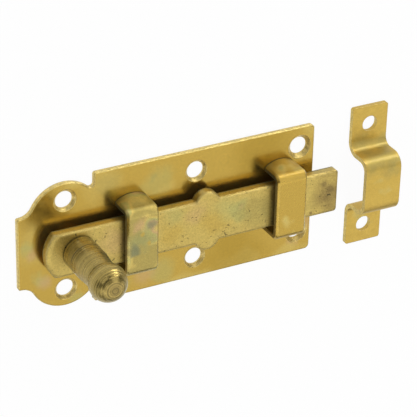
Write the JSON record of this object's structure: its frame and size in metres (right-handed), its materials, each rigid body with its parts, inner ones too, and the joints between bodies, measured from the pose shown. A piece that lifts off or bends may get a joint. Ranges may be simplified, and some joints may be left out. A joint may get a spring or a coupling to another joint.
{
  "type": "sliding bolt",
  "caption": "Flat sliding bolt: a bar with a riveted turned knob runs through strap guides on a lobed back plate and shoots into a separate folded keeper.",
  "frame": {"origin": "centre of the back plate's back face", "axes": "+X along the bolt towards its nose and the keeper, +Y across the plate, +Z out of the plate's front"},
  "size_m": [0.1264, 0.0486, 0.0315],
  "materials": {
    "plate_zinc": "yellow chromated zinc plating on sheet steel, semi-gloss",
    "guide_zinc": "yellow chromated zinc plating on strip steel, semi-gloss with faint iridescence",
    "bar_zinc": "yellow chromated zinc plating on bar steel, slightly pitted",
    "knob_zinc": "yellow chromated zinc plating over turning marks",
    "keeper_zinc": "yellow chromated zinc plating on strip steel, semi-gloss"
  },
  "bodies": {
    "base": {"back_plate": "plate_zinc", "rear_guide": "guide_zinc", "front_guide": "guide_zinc", "keeper": "keeper_zinc"},
    "bolt": {"bolt_bar": "bar_zinc", "knob": "knob_zinc"}
  },
  "joints": [
    {"name": "bolt_slide", "type": "slide", "parent": "base", "child": "bolt", "axis": [1, 0, 0], "range_m": [-0.016, 0.0085]}
  ]
}
